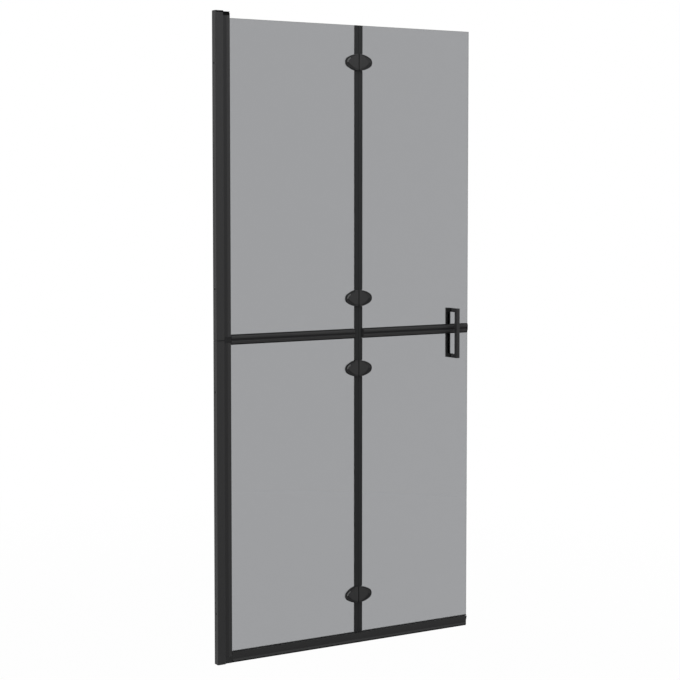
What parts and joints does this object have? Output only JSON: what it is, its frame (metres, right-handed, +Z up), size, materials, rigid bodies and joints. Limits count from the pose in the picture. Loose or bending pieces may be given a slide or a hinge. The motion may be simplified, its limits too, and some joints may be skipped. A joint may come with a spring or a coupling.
{
  "type": "folding shower screen",
  "caption": "Walk-in shower screen of smoked glass in black frames: a wall channel, a fixed leaf and a folding leaf on clamp hinges, a middle rail, a floor threshold and a pull handle.",
  "frame": {"origin": "on the wall, at floor level, on the middle plane of the glass", "axes": "+X out from the wall along the screen, -Y to the room, +Y to the shower, +Z up"},
  "size_m": [0.9, 0.064, 1.9],
  "materials": {
    "black_metal": "satin black powder coat",
    "black_plastic": "matt",
    "black_rubber": "matt",
    "smoked_glass": "polished, grey tint",
    "fixings": "plain steel"
  },
  "bodies": {
    "wall_channel": {"wall_channel_lower": "black_metal", "wall_channel_upper": "black_metal", "channel_top_cap": "black_plastic", "lock_screws": "fixings", "threshold_rail": "black_metal", "threshold_foot": "black_rubber", "threshold_corner_block": "black_plastic", "threshold_end_cap": "black_plastic"},
    "fixed_leaf": {"inner_profile_lower": "black_metal", "inner_profile_upper": "black_metal", "inner_profile_cap": "black_plastic", "mid_bracket": "black_plastic", "mid_bracket_screw": "fixings", "glazing_gasket_lower": "black_rubber", "glazing_gasket_upper": "black_rubber", "fixed_glass_lower": "smoked_glass", "fixed_glass_upper": "smoked_glass", "fixed_mid_rail": "black_metal", "fixed_mid_gaskets": "black_rubber", "fixed_fold_seal": "black_rubber", "fixed_bottom_lip": "black_rubber", "fixed_hinge_pads": "black_rubber", "fixed_hinge_screws": "fixings", "hinge_bottom_cover_fixed": "black_metal", "hinge_bottom_leaf_fixed": "black_metal", "hinge_bottom_pin": "fixings", "hinge_lower_cover_fixed": "black_metal", "hinge_lower_leaf_fixed": "black_metal", "hinge_lower_pin": "fixings", "hinge_upper_cover_fixed": "black_metal", "hinge_upper_leaf_fixed": "black_metal", "hinge_upper_pin": "fixings", "hinge_top_cover_fixed": "black_metal", "hinge_top_leaf_fixed": "black_metal", "hinge_top_pin": "fixings"},
    "folding_leaf": {"folding_glass_lower": "smoked_glass", "folding_glass_upper": "smoked_glass", "folding_mid_rail": "black_metal", "folding_mid_gaskets": "black_rubber", "mid_rail_end_cap": "black_plastic", "folding_fold_seal": "black_rubber", "folding_bottom_lip": "black_rubber", "folding_hinge_pads": "black_rubber", "folding_hinge_screws": "fixings", "handle_front": "black_metal", "handle_back": "black_metal", "handle_pads": "black_rubber", "handle_studs": "fixings", "hinge_bottom_cover_folding": "black_metal", "hinge_bottom_leaf_folding": "black_metal", "hinge_lower_cover_folding": "black_metal", "hinge_lower_leaf_folding": "black_metal", "hinge_upper_cover_folding": "black_metal", "hinge_upper_leaf_folding": "black_metal", "hinge_top_cover_folding": "black_metal", "hinge_top_leaf_folding": "black_metal"}
  },
  "joints": [
    {"name": "width_adjustment", "type": "slide", "parent": "wall_channel", "child": "fixed_leaf", "axis": [1, 0, 0], "range_m": [-0.009, 0]},
    {"name": "fold", "type": "hinge", "parent": "fixed_leaf", "child": "folding_leaf", "pos_m": [0.4896, 0.0115, 0], "axis": [0, 0, 1], "range_deg": [0, 175]}
  ]
}
